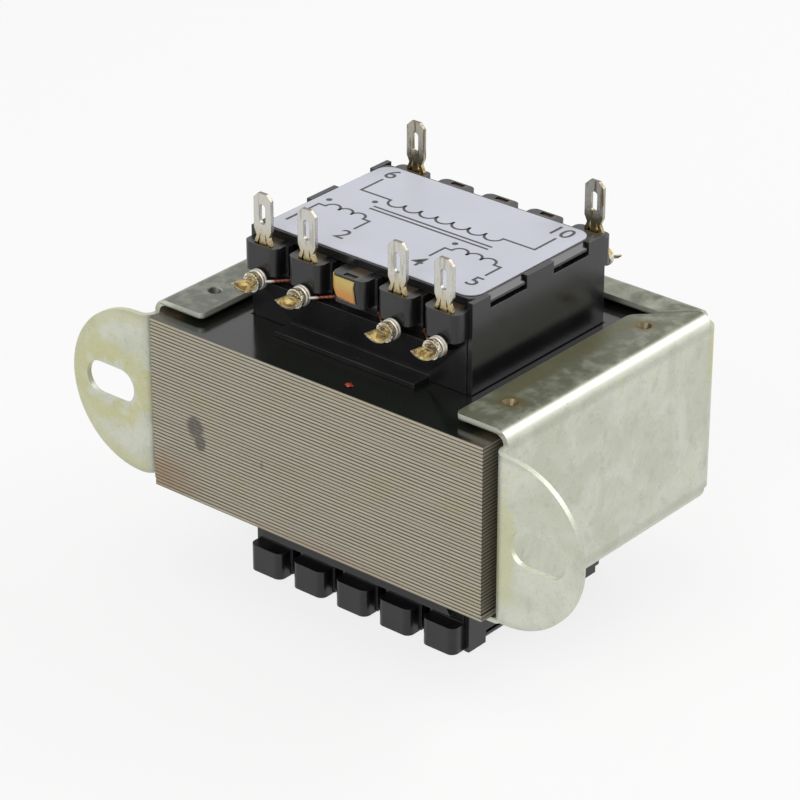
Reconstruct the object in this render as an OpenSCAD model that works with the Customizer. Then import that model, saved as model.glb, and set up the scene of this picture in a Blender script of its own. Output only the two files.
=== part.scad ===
// Laminated chassis transformer: an interleaved EI core in a folded steel clamp,
// a two-chamber coil former with terminal pillars, a snap-on insulating shroud
// and solder tags. X runs along the feet, Y from the mounting face backwards,
// Z up. The origin lies midway between the fixing slots, on the feet's front face.

/* [Laminations] */
// Width of a window and of a yoke, and half the width of the centre leg
window_w = 9; // [8:0.1:10]
// Thickness of one sheet
sheet_t = 0.47; // [0.4:0.01:0.6]
// Varnish film between two sheets
sheet_film = 0.02; // [0.01:0.01:0.04]
// Number of sheets in the stack
sheet_count = 49; // [39:2:59]
// Gap where the straight sheets butt against the legs
butt_gap = 0.03; // [0.02:0.01:0.1]
// How far the core stands proud of the feet
core_proud = 0.55; // [0.2:0.05:1]
// Sheets at the bottom that slipped sideways before the varnish set
loose_sheets = 2; // [0:1:4]
// Sideways slip of those sheets
loose_slip = 0.12; // [0:0.01:0.15]

/* [Clamp] */
// Thickness of the clamp's sheet steel
clamp_t = 0.75; // [0.5:0.05:0.9]
// Inside radius of its bends
bend_r = 1.2; // [0.6:0.1:1.2]
// Room between the core and each side of the clamp
clamp_side_gap = 0.9; // [0.2:0.1:1.5]
// Room between the core and the clamp's back
clamp_rear_gap = 0.2; // [0.2:0.05:0.5]
// Room above and below the stack, taken up by the dimples
clamp_gap = 0.65; // [0.6:0.05:1]
// Width of the side lips, from the clamp's outer face
side_lip_w = 8.1; // [6:0.1:9]
// Width of the rear lips, from the clamp's outer face
rear_lip_w = 5.5; // [4:0.1:7]
// Width of the slit between the mitred lips
mitre_slit = 0.7; // [0.3:0.1:1.5]
// Distance from the feet's front face to the lips' front ends
lip_setback = 2.2; // [2.1:0.1:4]
// Corner radius of the side lips' front ends
lip_corner = 0.8; // [0.3:0.1:1.5]
// Radius of the blunt corner where a side lip meets the mitre
mitre_corner = 2; // [0.5:0.1:3]
// Width of a dimple in the lips
dimple_d = 2; // [1.5:0.1:2.4]
// Distance of the dimples from the clamp's outer face
dimple_in = 4.7; // [4:0.1:5.5]

/* [Feet] */
// Radius of the half-round feet
foot_r = 11.4; // [9:0.1:11.5]
// Distance from the clamp's side to the centre of a fixing slot
slot_in = 6.35; // [6:0.05:8]
// Distance from a slot's centre to the foot's tip
slot_tip = 6.6; // [5.8:0.1:8]
// Length of a fixing slot
slot_len = 8.4; // [6:0.1:9]
// Width of a fixing slot
slot_w = 4.8; // [3.2:0.1:5.5]

/* [Coil former] */
// Room between the core and the former
former_gap = 0.2; // [0.16:0.01:0.3]
// Spare height in the former's bore
bore_slack = 0.9; // [0.4:0.1:1.2]
// Gap between the top sheet and the former that hangs on it
hang_gap = 0.05; // [0.02:0.01:0.1]
// Wall of the former's tube
tube_wall = 0.9; // [0.7:0.1:1.2]
// Thickness of the former's flanges
flange_t = 1; // [0.8:0.1:1.3]
// Height of the end flanges above the bore
flange_rise = 11.1; // [10.5:0.1:11.1]
// Height of the pillars above the bore
pillar_rise = 11.25; // [11.2:0.05:12]
// Height of a pillar
pillar_h = 3.8; // [3.2:0.1:4.2]
// Distance between two pillars
pillar_pitch = 7.25; // [7:0.05:7.3]
// Width of a pillar
pillar_w = 5.3; // [4.8:0.1:5.6]
// How far the pillars stand out of the flange
pillar_out = 2.2; // [2:0.1:2.6]
// Radius of a pillar's front corners
pillar_corner = 1; // [0.8:0.1:1.8]
// Width of the slot for a tag in each pillar
tag_slot_w = 2; // [1.6:0.1:2.4]
// Depth of that slot, front to back
tag_slot_d = 0.8; // [0.7:0.05:1]
// How far the slots lie behind the pillars' front faces
tag_inset = 0.7; // [0.65:0.05:1.2]
// Height of the apron's lower edge above the bore
apron_low = 1.1; // [0.95:0.05:2]
// Height of the apron's shelf above the bore
apron_high = 6.1; // [5.5:0.1:6.3]
// How far the apron's shelf stands out of the flange
apron_out = 1.5; // [1:0.1:1.8]
// Half width of the apron at its lower edge
apron_foot = 11; // [9:0.5:13]
// Half width of the apron at its shelf
apron_top = 16; // [14:0.5:16.5]
// Length of the tongues that lie over the yokes
tongue_len = 3; // [2:0.1:4]
// Half width of the tongues
tongue_half_w = 11.3; // [9:0.1:13]
// Thickness of the tongues
tongue_t = 0.65; // [0.5:0.05:0.8]
// Width of the wire slots between the pillars
wire_slot_w = 1.4; // [1:0.1:1.6]

/* [Windings] */
// Height of the primary winding over the tube
primary_build = 5.2; // [4:0.1:5.4]
// Height of each secondary winding
secondary_build = 2.5; // [2:0.1:2.6]
// Thickness of a wrap of insulating tape
wrap_t = 0.25; // [0.15:0.05:0.3]
// Gap between windings, wraps and the former
wind_gap = 0.03; // [0.02:0.01:0.05]
// Margin beside the outer secondary, where the inner one's leads rise
lead_margin = 0.9; // [0.7:0.1:1.2]
// Diameter of the secondary wire
secondary_wire = 0.4; // [0.3:0.05:0.5]
// Diameter of the primary wire
primary_wire = 0.25; // [0.15:0.05:0.3]

/* [Shroud] */
// Thickness of the shroud's side plates
shroud_t = 0.75; // [0.6:0.05:0.9]
// Height of the side plates beyond the core
shroud_rise = 12.35; // [12.35:0.05:13]
// Thickness of the lids
lid_t = 1.1; // [0.8:0.1:1.1]
// Height of the lids' outer faces beyond the core
lid_rise = 12.3; // [12:0.05:12.35]
// Corner radius of the lids
lid_corner = 1; // [0.5:0.1:2]
// Gap between the shroud's pieces
shroud_gap = 0.05; // [0.03:0.01:0.1]
// Length of a latch notch
notch_len = 7.1; // [5:0.1:8]
// Depth of a latch notch
notch_depth = 1.75; // [1.5:0.05:2]
// Distance between the notches' centres on one side
notch_spacing = 12.4; // [10:0.1:14]
// How far the latches stand out of a lid
latch_out = 0.65; // [0.4:0.05:0.7]
// Margin between the label and the lid's left and right edges
label_side = 0.2; // [0.1:0.05:2]
// Margin between the label and the lid's front and back edges
label_end = 0.35; // [0.1:0.05:2]
// Corner radius of the label
label_corner = 2; // [1:0.1:3]
// Thickness of the label
label_t = 0.1; // [0.05:0.01:0.2]

/* [Terminals] */
// Thickness of a tag
tag_t = 0.5; // [0.4:0.05:0.6]
// Width of a tag
tag_w = 2.85; // [2.5:0.05:3.2]
// How far the tags sit to the right in their slots
tag_shift = 0.3; // [0:0.05:0.4]
// Width and height of a tag's cropped corners
tag_crop = 0.75; // [0.3:0.05:0.8]
// Width of a tag's neck
tag_neck = 2; // [1.7:0.05:2.3]
// Width across a tag's splayed feet
tag_foot_w = 2.9; // [2.6:0.05:3.2]
// Height of a tag above its pillar
tag_h = 6.9; // [6:0.1:8]
// Width of the eye in a tag
eye_w = 1; // [0.8:0.05:1.2]
// Length of the eye in a tag
eye_len = 2.7; // [2:0.1:3]
// Distance from a tag's top to the eye's middle
eye_drop = 2.8; // [2.3:0.1:3]
// Width of the stub under a pillar
stub_w = 1.1; // [0.9:0.05:1.2]
// Length of the open trough at the stub's end
scoop_len = 1.45; // [1:0.05:2.4]
// Width of the trough's mouth
scoop_w = 3.4; // [2.4:0.1:4]
// Depth of the trough's mouth
scoop_depth = 0.9; // [0.6:0.05:1.1]
// Radius of a solder joint
solder_r = 1.3; // [1:0.05:1.6]
// Thickness of a solder joint, front to back
solder_t = 0.7; // [0.5:0.05:1]
// Thickness of the tape patch on the middle pillar
patch_t = 0.12; // [0.08:0.01:0.2]

/* [Hidden] */
$fn = 48;
past = 1;

// Core
sheet_pitch = sheet_t + sheet_film;
stack_h = sheet_count * sheet_pitch - sheet_film;
core_top = stack_h / 2;
core_front = -core_proud;
core_mid_y = core_front + 2.5 * window_w;
core_back = core_front + 5 * window_w;

// Clamp; its bends leave the feet's walls flat
bend_in = min(bend_r, core_top + clamp_gap - foot_r);
bend_out = bend_in + clamp_t;
clamp_in_x = 3 * window_w + clamp_side_gap;
clamp_x = clamp_in_x + clamp_t;
clamp_back = core_back + clamp_rear_gap + clamp_t;
clamp_high = core_top + clamp_gap + clamp_t;
clamp_low = -clamp_high;
clamp_h = clamp_high - clamp_low;
dimple_gap = 0.05;
slot_x = clamp_x + slot_in;
foot_reach = slot_x + slot_tip;
foot_x = foot_reach - foot_r;

// Coil former
bore_half_w = window_w + former_gap;
bore_h = stack_h + bore_slack;
bore_top = core_top + hang_gap;
former_mid = bore_top - bore_h / 2;
tube_half_w = bore_half_w + tube_wall;
tube_half_h = bore_h / 2 + tube_wall;
flange_front = core_front + window_w + former_gap;
flange_half_h = bore_h / 2 + flange_rise;
shroud_x = 2 * window_w - former_gap;
shroud_in_x = shroud_x - shroud_t;
flange_half_w = shroud_in_x - shroud_gap;
chamber_front = flange_front + flange_t;
pillar_front = flange_front - pillar_out;
pillar_top = former_mid + bore_h / 2 + pillar_rise;
pillar_low = pillar_top - pillar_h;
pocket_d = 0.3;
front_tags = [1, 2, 4, 5];
back_tags = [1, 5];
tag_y = pillar_front + tag_inset;
wire_slot_low = bore_h / 2 + apron_high;
plate_end_gap = 0.15;

// Windings
divider_half = flange_t / 2;
winding_base = wind_gap;
tape_over_primary = winding_base + primary_build + wind_gap;
tape_between = winding_base + secondary_build + wind_gap;
outer_base = tape_between + wrap_t + wind_gap;
tape_over_outer = outer_base + secondary_build + wind_gap;

// Shroud
shroud_half_h = core_top + shroud_rise;
lid_top = core_top + lid_rise;
lid_front = chamber_front + shroud_gap;
lid_w = 2 * (shroud_in_x - shroud_gap);
lid_depth = 2 * (core_mid_y - lid_front);
divider_half_h = lid_top - lid_t - shroud_gap - abs(former_mid);

// Terminals
patch_gap = 0.01;
stub_t = tag_t;
stub_drop = 0.3;
stub_z = pillar_low - stub_drop - stub_t / 2;
stub_wall = 0.3;
shank_rise = 0.4;
wrap_out = 0.65;
wrap_turn_y = pillar_front - wrap_out;
solder_gap = 0.15;
solder_back = wrap_turn_y - secondary_wire - solder_gap;
solder_front = solder_back - solder_t;
scoop_wall = 0.25;
neck_bite = 0.15;
scoop_tilt = 8;
scoop_skew = 7;
mouth_r = (pow(scoop_w / 2, 2) + pow(scoop_depth, 2)) / (2 * scoop_depth);
rim_drop = mouth_r - scoop_depth;
throat_r = rim_drop + scoop_depth / 2;
scoop_y = solder_front - throat_r * sin(scoop_tilt) - patch_gap;
scoop_axis_z = stub_z - stub_t / 2 + throat_r;
neck_front = scoop_y - neck_bite;

function pillar_x(n) = (n - 3) * pillar_pitch;
function tag_x(n) = pillar_x(n) + tag_shift;
function flare(run) = throat_r + (mouth_r - throat_r) * run / scoop_len;

module both_sides() {
    children();
    mirror([1, 0, 0]) children();
}

// Mirrors front to back about the core's middle
module at_back() {
    translate([0, 2 * core_mid_y, 0]) mirror([0, 1, 0]) children();
}

// Mirrors top to bottom about the former's middle
module former_under() {
    translate([0, 0, 2 * former_mid]) mirror([0, 0, 1]) children();
}

module rounded_plate(w, d, r) {
    square([w - 2 * r, d], center = true);
    square([w, d - 2 * r], center = true);
    for (x = [-1, 1], y = [-1, 1])
        translate([x * (w / 2 - r), y * (d / 2 - r)]) circle(r);
}

// A straight wire from a to b, its ends a touch fuller than the wire
module wire(a, b, d) {
    run = b - a;
    tilt = acos(run[2] / norm(run));
    turn = atan2(run[1], run[0]);
    translate(a) {
        sphere(d = 1.06 * d);
        rotate([0, tilt, turn]) cylinder(d = d, h = norm(run));
    }
    translate(b) sphere(d = 1.06 * d);
}

module route(points, d) {
    for (i = [1 : len(points) - 1]) wire(points[i - 1], points[i], d);
}

// ---- Laminations

module e_outline() {
    difference() {
        translate([-3 * window_w, 0]) square([6 * window_w, 4 * window_w - butt_gap]);
        for (x = [-2, 1])
            translate([x * window_w, window_w]) square([window_w, 3 * window_w]);
    }
}

module i_outline() {
    translate([-3 * window_w, 4 * window_w]) square([6 * window_w, window_w]);
}

// Every second sheet faces the other way
module interleaved() {
    for (n = [0 : sheet_count - 1])
        translate([n < loose_sheets ? loose_slip : 0, core_front, n * sheet_pitch - core_top])
            if (n % 2 == 0) linear_extrude(sheet_t) children();
            else translate([0, 5 * window_w, 0]) mirror([0, 1, 0])
                linear_extrude(sheet_t) children();
}

module e_laminations() {
    color("#8f8b7d") interleaved() e_outline();
}

module i_laminations() {
    color("#868273") interleaved() i_outline();
}

// ---- Clamp

// The channel's section: u runs inwards from the outer face, v runs up
module channel_outer(inset, lip_w) {
    r = bend_out - inset;
    translate([inset, clamp_low + bend_out]) square([lip_w, clamp_h - 2 * bend_out]);
    translate([bend_out, clamp_low + inset]) square([lip_w - bend_out, clamp_h - 2 * inset]);
    for (v = [clamp_low + bend_out, clamp_high - bend_out])
        translate([bend_out, v]) circle(r);
}

module channel_section(lip_w) {
    difference() {
        intersection() {
            channel_outer(0, lip_w);
            translate([0, clamp_low]) square([lip_w, clamp_h]);
        }
        channel_outer(clamp_t, lip_w + past);
    }
}

// Everything behind the mitre line of the right-hand rear corner, or in front of it
module beyond_mitre(side) {
    reach = 4 * side_lip_w;
    translate([clamp_x - bend_out, clamp_back - bend_out, clamp_low - past])
        rotate([0, 0, 45])
            translate([-reach, side > 0 ? -mitre_slit / 2 : mitre_slit / 2 - reach, 0])
                cube([2 * reach, reach, clamp_h + 2 * past]);
}

// What is rounded off the right-hand lips: the front corner and the blunt one behind
module lip_corners() {
    inner_x = clamp_x - side_lip_w;
    blunt_y = clamp_back - side_lip_w - mitre_slit / sqrt(2);
    run = mitre_corner * tan(22.5);
    translate([0, 0, clamp_low - past]) linear_extrude(clamp_h + 2 * past) {
        translate([inner_x, lip_setback]) difference() {
            translate([-past, -past]) square(lip_corner + past);
            translate([lip_corner, lip_corner]) circle(lip_corner);
        }
        translate([inner_x, blunt_y]) difference() {
            polygon([[0, -run], [run / sqrt(2), run / sqrt(2)], [-past, run / sqrt(2)],
                [-past, -run]]);
            translate([mitre_corner, -run]) circle(mitre_corner);
        }
    }
}

module side_channel() {
    difference() {
        translate([clamp_x, clamp_back - bend_out, 0]) rotate([90, 0, 0])
            linear_extrude(clamp_back - bend_out - lip_setback)
                mirror([1, 0]) channel_section(side_lip_w);
        beyond_mitre(1);
        lip_corners();
    }
}

module rear_channel() {
    half_w = clamp_x - bend_out;
    difference() {
        translate([-half_w, clamp_back, 0]) rotate([90, 0, 90])
            linear_extrude(2 * half_w) mirror([1, 0]) channel_section(rear_lip_w);
        both_sides() beyond_mitre(-1);
    }
}

module rear_corner() {
    translate([clamp_x - bend_out, clamp_back - bend_out, clamp_low + bend_out])
        rotate_extrude(angle = 90) translate([bend_in, 0])
            square([clamp_t, clamp_h - 2 * bend_out]);
}

module foot_outline() {
    difference() {
        intersection() {
            union() {
                translate([foot_x, 0]) circle(foot_r, $fn = 96);
                translate([clamp_x, -foot_r]) square([foot_x - clamp_x, 2 * foot_r]);
            }
            translate([clamp_x + bend_in, -foot_r]) square([foot_reach, 2 * foot_r]);
        }
        for (end = [-1, 1])
            translate([slot_x + end * (slot_len - slot_w) / 2, 0]) circle(d = slot_w);
        translate([slot_x, 0]) square([slot_len - slot_w, slot_w], center = true);
    }
}

module foot() {
    translate([0, clamp_t, 0]) rotate([90, 0, 0]) linear_extrude(clamp_t) foot_outline();
    translate([clamp_x + bend_in, bend_out, -foot_r]) rotate([0, 0, 180])
        rotate_extrude(angle = 90) translate([bend_in, 0]) square([clamp_t, 2 * foot_r]);
    translate([clamp_in_x, bend_out, -foot_r])
        cube([clamp_t, lip_setback - bend_out + past, 2 * foot_r]);
}

// The dimples of the upper and the lower lip on the right
module dimple_places() {
    for (y = [core_front + window_w, core_back - window_w], lip = [0, 1])
        mirror([0, 0, lip]) translate([clamp_x - dimple_in, y, core_top + dimple_gap]) children();
}

module mounting_clamp() {
    color("#a9aa93") difference() {
        union() {
            both_sides() {
                side_channel();
                rear_corner();
                foot();
                dimple_places()
                    cylinder(d1 = 0.6 * dimple_d, d2 = 1.3 * dimple_d, h = clamp_gap);
            }
            rear_channel();
        }
        both_sides() dimple_places() translate([0, 0, clamp_t / 2])
            cylinder(d1 = 0.4 * dimple_d, d2 = dimple_d, h = clamp_gap + clamp_t / 2);
    }
}

// ---- Coil former

// A pillar seen from above, its front at y = 0
module pillar_plan(grow = 0) {
    half_w = pillar_w / 2;
    back = pillar_out + flange_t;
    translate([-half_w - grow, pillar_corner])
        square([pillar_w + 2 * grow, pillar_out + plate_end_gap / 2 - pillar_corner]);
    translate([-half_w + pillar_corner, -grow])
        square([pillar_w - 2 * pillar_corner, back + grow]);
    for (x = [-1, 1])
        translate([x * (half_w - pillar_corner), pillar_corner]) circle(pillar_corner + grow);
}

// A pillar; its slot goes right through where it holds a tag, else it is a recess
module pillar(tagged) {
    depth = tagged ? pillar_h + past : pocket_d;
    difference() {
        translate([0, pillar_front, pillar_low]) linear_extrude(pillar_h) pillar_plan();
        translate([-tag_slot_w / 2, tag_y - tag_slot_d / 2, pillar_top - depth])
            cube([tag_slot_w, tag_slot_d, depth + past]);
    }
}

// Overhanging shelf under the pillars, narrower towards the core
module apron() {
    low = former_mid + bore_h / 2 + apron_low;
    high = former_mid + bore_h / 2 + apron_high;
    intersection() {
        rotate([90, 0, 90]) linear_extrude(4 * apron_top, center = true)
            polygon([[flange_front + flange_t / 2, low], [flange_front, low],
                [flange_front - apron_out, high], [flange_front + flange_t / 2, high]]);
        translate([0, flange_front + flange_t, 0]) rotate([90, 0, 0])
            linear_extrude(apron_out + 2 * flange_t)
                polygon([[-apron_foot, low], [-apron_top, high], [apron_top, high],
                    [apron_foot, low]]);
    }
}

module tongue() {
    translate([-tongue_half_w, flange_front - tongue_len, bore_top])
        cube([2 * tongue_half_w, tongue_len + flange_t / 2, tongue_t]);
}

module flange() {
    translate([-flange_half_w, flange_front, former_mid - flange_half_h])
        cube([2 * flange_half_w, flange_t, 2 * flange_half_h]);
}

module wire_slots() {
    for (n = [1 : 4])
        translate([(pillar_x(n) + pillar_x(n + 1)) / 2 - wire_slot_w / 2,
            flange_front - past, former_mid + wire_slot_low])
            cube([wire_slot_w, flange_t + 2 * past, flange_rise]);
}

module former_edge(tags) {
    for (n = [1 : 5]) translate([pillar_x(n), 0, 0]) pillar(len(search(n, tags)) > 0);
    apron();
    tongue();
}

module former_end(tags) {
    difference() {
        union() {
            flange();
            former_edge(tags);
            former_under() former_edge([]);
        }
        wire_slots();
        former_under() wire_slots();
    }
}

module coil_former() {
    color("#1b1b1d") difference() {
        union() {
            former_end(front_tags);
            at_back() former_end(back_tags);
            translate([-flange_half_w, core_mid_y - divider_half, former_mid - divider_half_h])
                cube([2 * flange_half_w, flange_t, 2 * divider_half_h]);
            translate([0, core_mid_y, former_mid]) rotate([90, 0, 0])
                linear_extrude(2 * (core_mid_y - flange_front), center = true)
                    rounded_plate(2 * tube_half_w, 2 * tube_half_h, tube_wall);
        }
        translate([-bore_half_w, flange_front - past, former_mid - bore_h / 2])
            cube([2 * bore_half_w, 2 * (core_mid_y - flange_front + past), bore_h]);
    }
}

// ---- Windings

// A rectangular ring round the tube, from one y to another
module ring_round_tube(from_y, to_y, base, build) {
    translate([0, to_y, former_mid]) rotate([90, 0, 0]) linear_extrude(to_y - from_y)
        difference() {
            rounded_plate(2 * (tube_half_w + base + build), 2 * (tube_half_h + base + build),
                tube_wall + base + build);
            rounded_plate(2 * (tube_half_w + base), 2 * (tube_half_h + base),
                tube_wall + base);
        }
}

// A winding's end: up through the slot beside pillar n and round its stub.
// side is 1 where the slot lies on the pillar's right, -1 on its left
module lead(n, side, coil_z, rise_y, d) {
    x = tag_x(n);
    slot_x = pillar_x(n) + side * pillar_pitch / 2;
    turn_r = stub_w / 2 + 0.2 + d;
    slot_z = former_mid + wire_slot_low + 2 * d;
    route([
        [slot_x, rise_y, coil_z],
        [slot_x, rise_y, slot_z],
        [slot_x, flange_front - 0.5, slot_z],
        [x + side * turn_r, wrap_turn_y, stub_z]], d);
    for (k = [-0.5, 0.5])
        translate([x, wrap_turn_y + k * 1.05 * d, stub_z]) rotate([90, 0, 0])
            rotate_extrude() translate([turn_r, 0]) circle(d = 1.1 * d);
}

module primary_winding() {
    coil_z = former_mid + tube_half_h + primary_build / 2;
    color("#9c4a24") at_back() {
        ring_round_tube(chamber_front + lead_margin, core_mid_y - divider_half - wind_gap,
            winding_base, primary_build);
        lead(1, 1, coil_z, chamber_front + lead_margin + primary_wire / 2, primary_wire);
        lead(5, -1, coil_z, chamber_front + lead_margin + primary_wire / 2, primary_wire);
    }
}

module primary_tape() {
    color("#c9a24a") at_back()
        ring_round_tube(chamber_front + lead_margin + 3 * primary_wire,
            core_mid_y - divider_half - wind_gap, tape_over_primary, wrap_t);
}

module inner_secondary() {
    coil_z = former_mid + tube_half_h + secondary_build / 2;
    rise_y = chamber_front + wind_gap + secondary_wire / 2;
    color("#a8502a") {
        ring_round_tube(chamber_front + wind_gap, core_mid_y - divider_half - wind_gap,
            winding_base, secondary_build);
        lead(1, 1, coil_z, rise_y, secondary_wire);
        lead(2, 1, coil_z, rise_y, secondary_wire);
    }
}

module interlayer_tape() {
    color("#c9a24a")
        ring_round_tube(chamber_front + lead_margin, core_mid_y - divider_half - wind_gap,
            tape_between, wrap_t);
}

module outer_secondary() {
    coil_z = former_mid + tube_half_h + outer_base + secondary_build / 2;
    rise_y = chamber_front + lead_margin + secondary_wire / 2;
    color("#a8502a") {
        ring_round_tube(chamber_front + lead_margin, core_mid_y - divider_half - wind_gap,
            outer_base, secondary_build);
        lead(4, -1, coil_z, rise_y, secondary_wire);
        lead(5, -1, coil_z, rise_y, secondary_wire);
    }
}

module outer_tape() {
    color("#c9a24a")
        ring_round_tube(chamber_front + lead_margin + 2 * secondary_wire,
            core_mid_y - divider_half - wind_gap, tape_over_outer, wrap_t);
}

// ---- Shroud

module side_plate() {
    depth = 2 * (core_mid_y - flange_front - plate_end_gap);
    color("#202124") difference() {
        translate([shroud_in_x, core_mid_y - depth / 2, -shroud_half_h])
            cube([shroud_t, depth, 2 * shroud_half_h]);
        for (end = [-1, 1], place = [-1, 1])
            translate([shroud_x, core_mid_y + place * notch_spacing / 2, end * shroud_half_h])
                cube([4 * shroud_t, notch_len, 2 * notch_depth], center = true);
    }
}

module left_shroud() {
    mirror([1, 0, 0]) side_plate();
}

module right_shroud() {
    side_plate();
}

// Wedge that snaps into a notch; its slope faces up and outwards
module latch() {
    low = lid_top - lid_t;
    high = lid_top - 2 * shroud_gap;
    wall = lid_w / 2;
    half = notch_len / 2 - 4 * shroud_gap;
    translate([0, half, 0]) rotate([90, 0, 0]) linear_extrude(2 * half)
        polygon([[wall - lid_t, low], [wall + latch_out, low],
            [wall + latch_out, low + latch_out / 2], [wall, high], [wall - lid_t, high]]);
}

module lid() {
    color("#1d1e20") {
        translate([0, core_mid_y, lid_top - lid_t]) linear_extrude(lid_t)
            rounded_plate(lid_w, lid_depth, lid_corner);
        both_sides() for (place = [-1, 1])
            translate([0, core_mid_y + place * notch_spacing / 2, 0]) latch();
    }
}

module top_lid() {
    lid();
}

module bottom_lid() {
    mirror([0, 0, 1]) lid();
}

module terminal_label() {
    color("#d9d9e2") translate([0, core_mid_y, lid_top + patch_gap]) linear_extrude(label_t)
        rounded_plate(lid_w - 2 * label_side, lid_depth - 2 * label_end, label_corner);
}

// Scrap of tape round the left front corner of the middle pillar, torn on the right
module tape_patch() {
    top = pillar_top - 0.07 * pillar_h;
    low = pillar_low + 0.15 * pillar_h;
    right = 0.28 * pillar_w;
    color("#d99a3c") intersection() {
        translate([0, pillar_front, pillar_low]) linear_extrude(pillar_h) difference() {
            pillar_plan(patch_gap + patch_t);
            pillar_plan(patch_gap);
        }
        translate([0, pillar_front + 1.5 * pillar_corner, 0]) rotate([90, 0, 0])
            linear_extrude(1.5 * pillar_corner + past)
                polygon([[-pillar_w, top], [0.85 * right, top], [0.7 * right, 0.7 * top + 0.3 * low],
                    [right, low], [-0.9 * right, low], [-pillar_w / 2, 0.6 * top + 0.4 * low],
                    [-pillar_w, 0.7 * top + 0.3 * low]]);
    }
}

// ---- Terminals

// Outline of a tag above its pillar: splayed feet, neck, eye and cropped top
module tag_outline() {
    half_w = tag_w / 2;
    half_neck = tag_neck / 2;
    half_foot = tag_foot_w / 2;
    foot_gap = 0.05;
    neck_z = 1.1;
    shoulder_z = 2;
    eye_z = tag_h - eye_drop;
    difference() {
        polygon([
            [-half_foot, foot_gap], [-half_neck, neck_z], [-half_w, shoulder_z],
            [-half_w, tag_h - tag_crop], [-half_w + tag_crop, tag_h],
            [half_w - tag_crop, tag_h], [half_w, tag_h - tag_crop],
            [half_w, shoulder_z], [half_neck, neck_z], [half_foot, foot_gap]]);
        for (side = [-1, 1])
            polygon([[side * 0.3 * half_foot, 0], [side * 0.4 * half_neck, 1.4 * neck_z],
                [side * 0.62 * half_foot, 0]]);
        for (end = [-1, 1])
            translate([0, eye_z + end * (eye_len - eye_w) / 2]) circle(d = eye_w);
        translate([0, eye_z]) square([eye_w, eye_len - eye_w], center = true);
    }
}

// The part that goes down through the pillar and forward under it
module tag_stub() {
    shank_low = stub_z + stub_t / 2 + stub_wall;
    bend_y = tag_y - tag_t / 2 - stub_wall;
    translate([-stub_w / 2, tag_y - tag_t / 2, shank_low])
        cube([stub_w, tag_t, pillar_top - shank_low + shank_rise]);
    translate([-stub_w / 2, bend_y, shank_low]) rotate([90, 0, 90]) rotate([0, 0, -90])
        linear_extrude(stub_w) intersection() {
            difference() {
                circle(stub_wall + stub_t);
                circle(stub_wall);
            }
            square(stub_wall + stub_t);
        }
    neck(bend_y, 0);
}

// The flat run of a stub from the trough back to a given y, swollen by a gap
module neck(back_y, gap) {
    translate([-stub_w / 2 - gap, neck_front, stub_z - stub_t / 2 - gap])
        cube([stub_w + 2 * gap, back_y - neck_front, stub_t + 2 * gap]);
}

module trough_cone(from, to, grow) {
    translate([0, 0, from])
        cylinder(r1 = flare(from) + grow, r2 = flare(to) + grow, h = to - from);
}

// The stub's open end: a flared trough that dips forwards, its mouth cut askew
module scoop() {
    reach = 2 * scoop_w;
    translate([0, scoop_y, scoop_axis_z]) rotate([90 + scoop_tilt, 0, 0]) difference() {
        trough_cone(0, scoop_len + scoop_w / 2 * tan(scoop_skew), 0);
        trough_cone(-past, scoop_len + past, -scoop_wall);
        translate([-reach / 2, -rim_drop, -past]) cube([reach, reach, reach]);
        translate([0, 0, scoop_len]) rotate([0, scoop_skew, 0]) translate([-reach / 2, -reach, 0])
            cube([reach, 2 * reach, reach]);
    }
}

module solder_tag(n) {
    color("#c8bf9a") translate([tag_x(n), 0, 0]) {
        translate([0, tag_y + tag_t / 2, pillar_top]) rotate([90, 0, 0])
            linear_extrude(tag_t) tag_outline();
        tag_stub();
        scoop();
    }
}

// Solder round the neck between the wire's turns and the trough, dished in front
module solder_joint(n) {
    dish_r = 0.85 * solder_r;
    color("#cdb46a") translate([tag_x(n), 0, 0]) difference() {
        translate([0, solder_front, stub_z]) rotate([-90, 0, 0]) rotate_extrude()
            difference() {
                intersection() {
                    translate([0, 0.2 * solder_t]) circle(solder_r);
                    square([solder_r, solder_t]);
                }
                polygon([[-past, -past], [dish_r, -past], [dish_r, 0],
                    [0.4 * dish_r, solder_t / 2], [-past, solder_t / 2]]);
            }
        neck(pillar_front, patch_gap);
    }
}

module tag_1() { solder_tag(1); }
module tag_2() { solder_tag(2); }
module tag_4() { solder_tag(4); }
module tag_5() { solder_tag(5); }
module tag_6() { at_back() solder_tag(1); }
module tag_10() { at_back() solder_tag(5); }
module solder_1() { solder_joint(1); }
module solder_2() { solder_joint(2); }
module solder_4() { solder_joint(4); }
module solder_5() { solder_joint(5); }
module solder_6() { at_back() solder_joint(1); }
module solder_10() { at_back() solder_joint(5); }

e_laminations();
i_laminations();
mounting_clamp();
coil_former();
primary_winding();
primary_tape();
inner_secondary();
interlayer_tape();
outer_secondary();
outer_tape();
left_shroud();
right_shroud();
top_lid();
bottom_lid();
terminal_label();
tape_patch();
tag_1();
tag_2();
tag_4();
tag_5();
tag_6();
tag_10();
solder_1();
solder_2();
solder_4();
solder_5();
solder_6();
solder_10();
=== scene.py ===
import math
import random

import bmesh
import bpy
from mathutils import Matrix, Vector


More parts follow.
